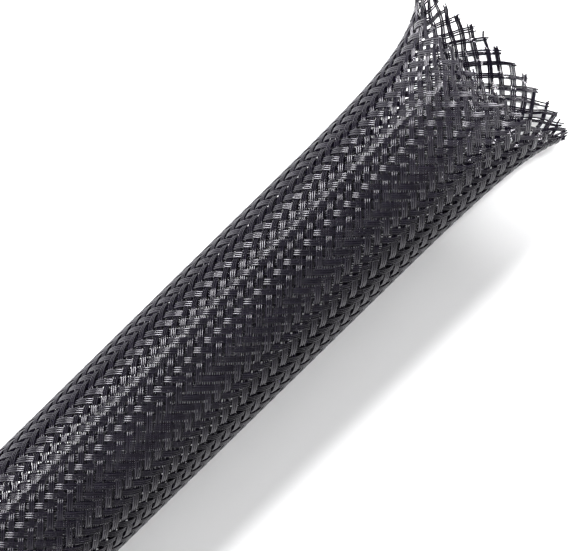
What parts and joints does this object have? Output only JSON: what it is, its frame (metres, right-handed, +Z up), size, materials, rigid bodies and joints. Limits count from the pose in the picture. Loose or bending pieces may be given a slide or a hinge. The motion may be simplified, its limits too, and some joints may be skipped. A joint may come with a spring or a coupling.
{
  "type": "braided cable sleeve",
  "caption": "Open braided monofilament cable sleeve, a cut length of round tube lying on its side with one end opened out into a frayed bell mouth.",
  "frame": {"origin": "centre of the bounding box at floor level, under the middle of the sleeve's length", "axes": "+X along the sleeve toward its opened-out mouth, +Y level across it, +Z up; it lies on the floor along its whole length"},
  "size_m": [0.3048, 0.0296, 0.0296],
  "materials": {
    "monofilament": "black PET monofilament, satin to semi-gloss"
  },
  "bodies": {
    "root": {"braided_sleeve": "monofilament"}
  },
  "joints": []
}
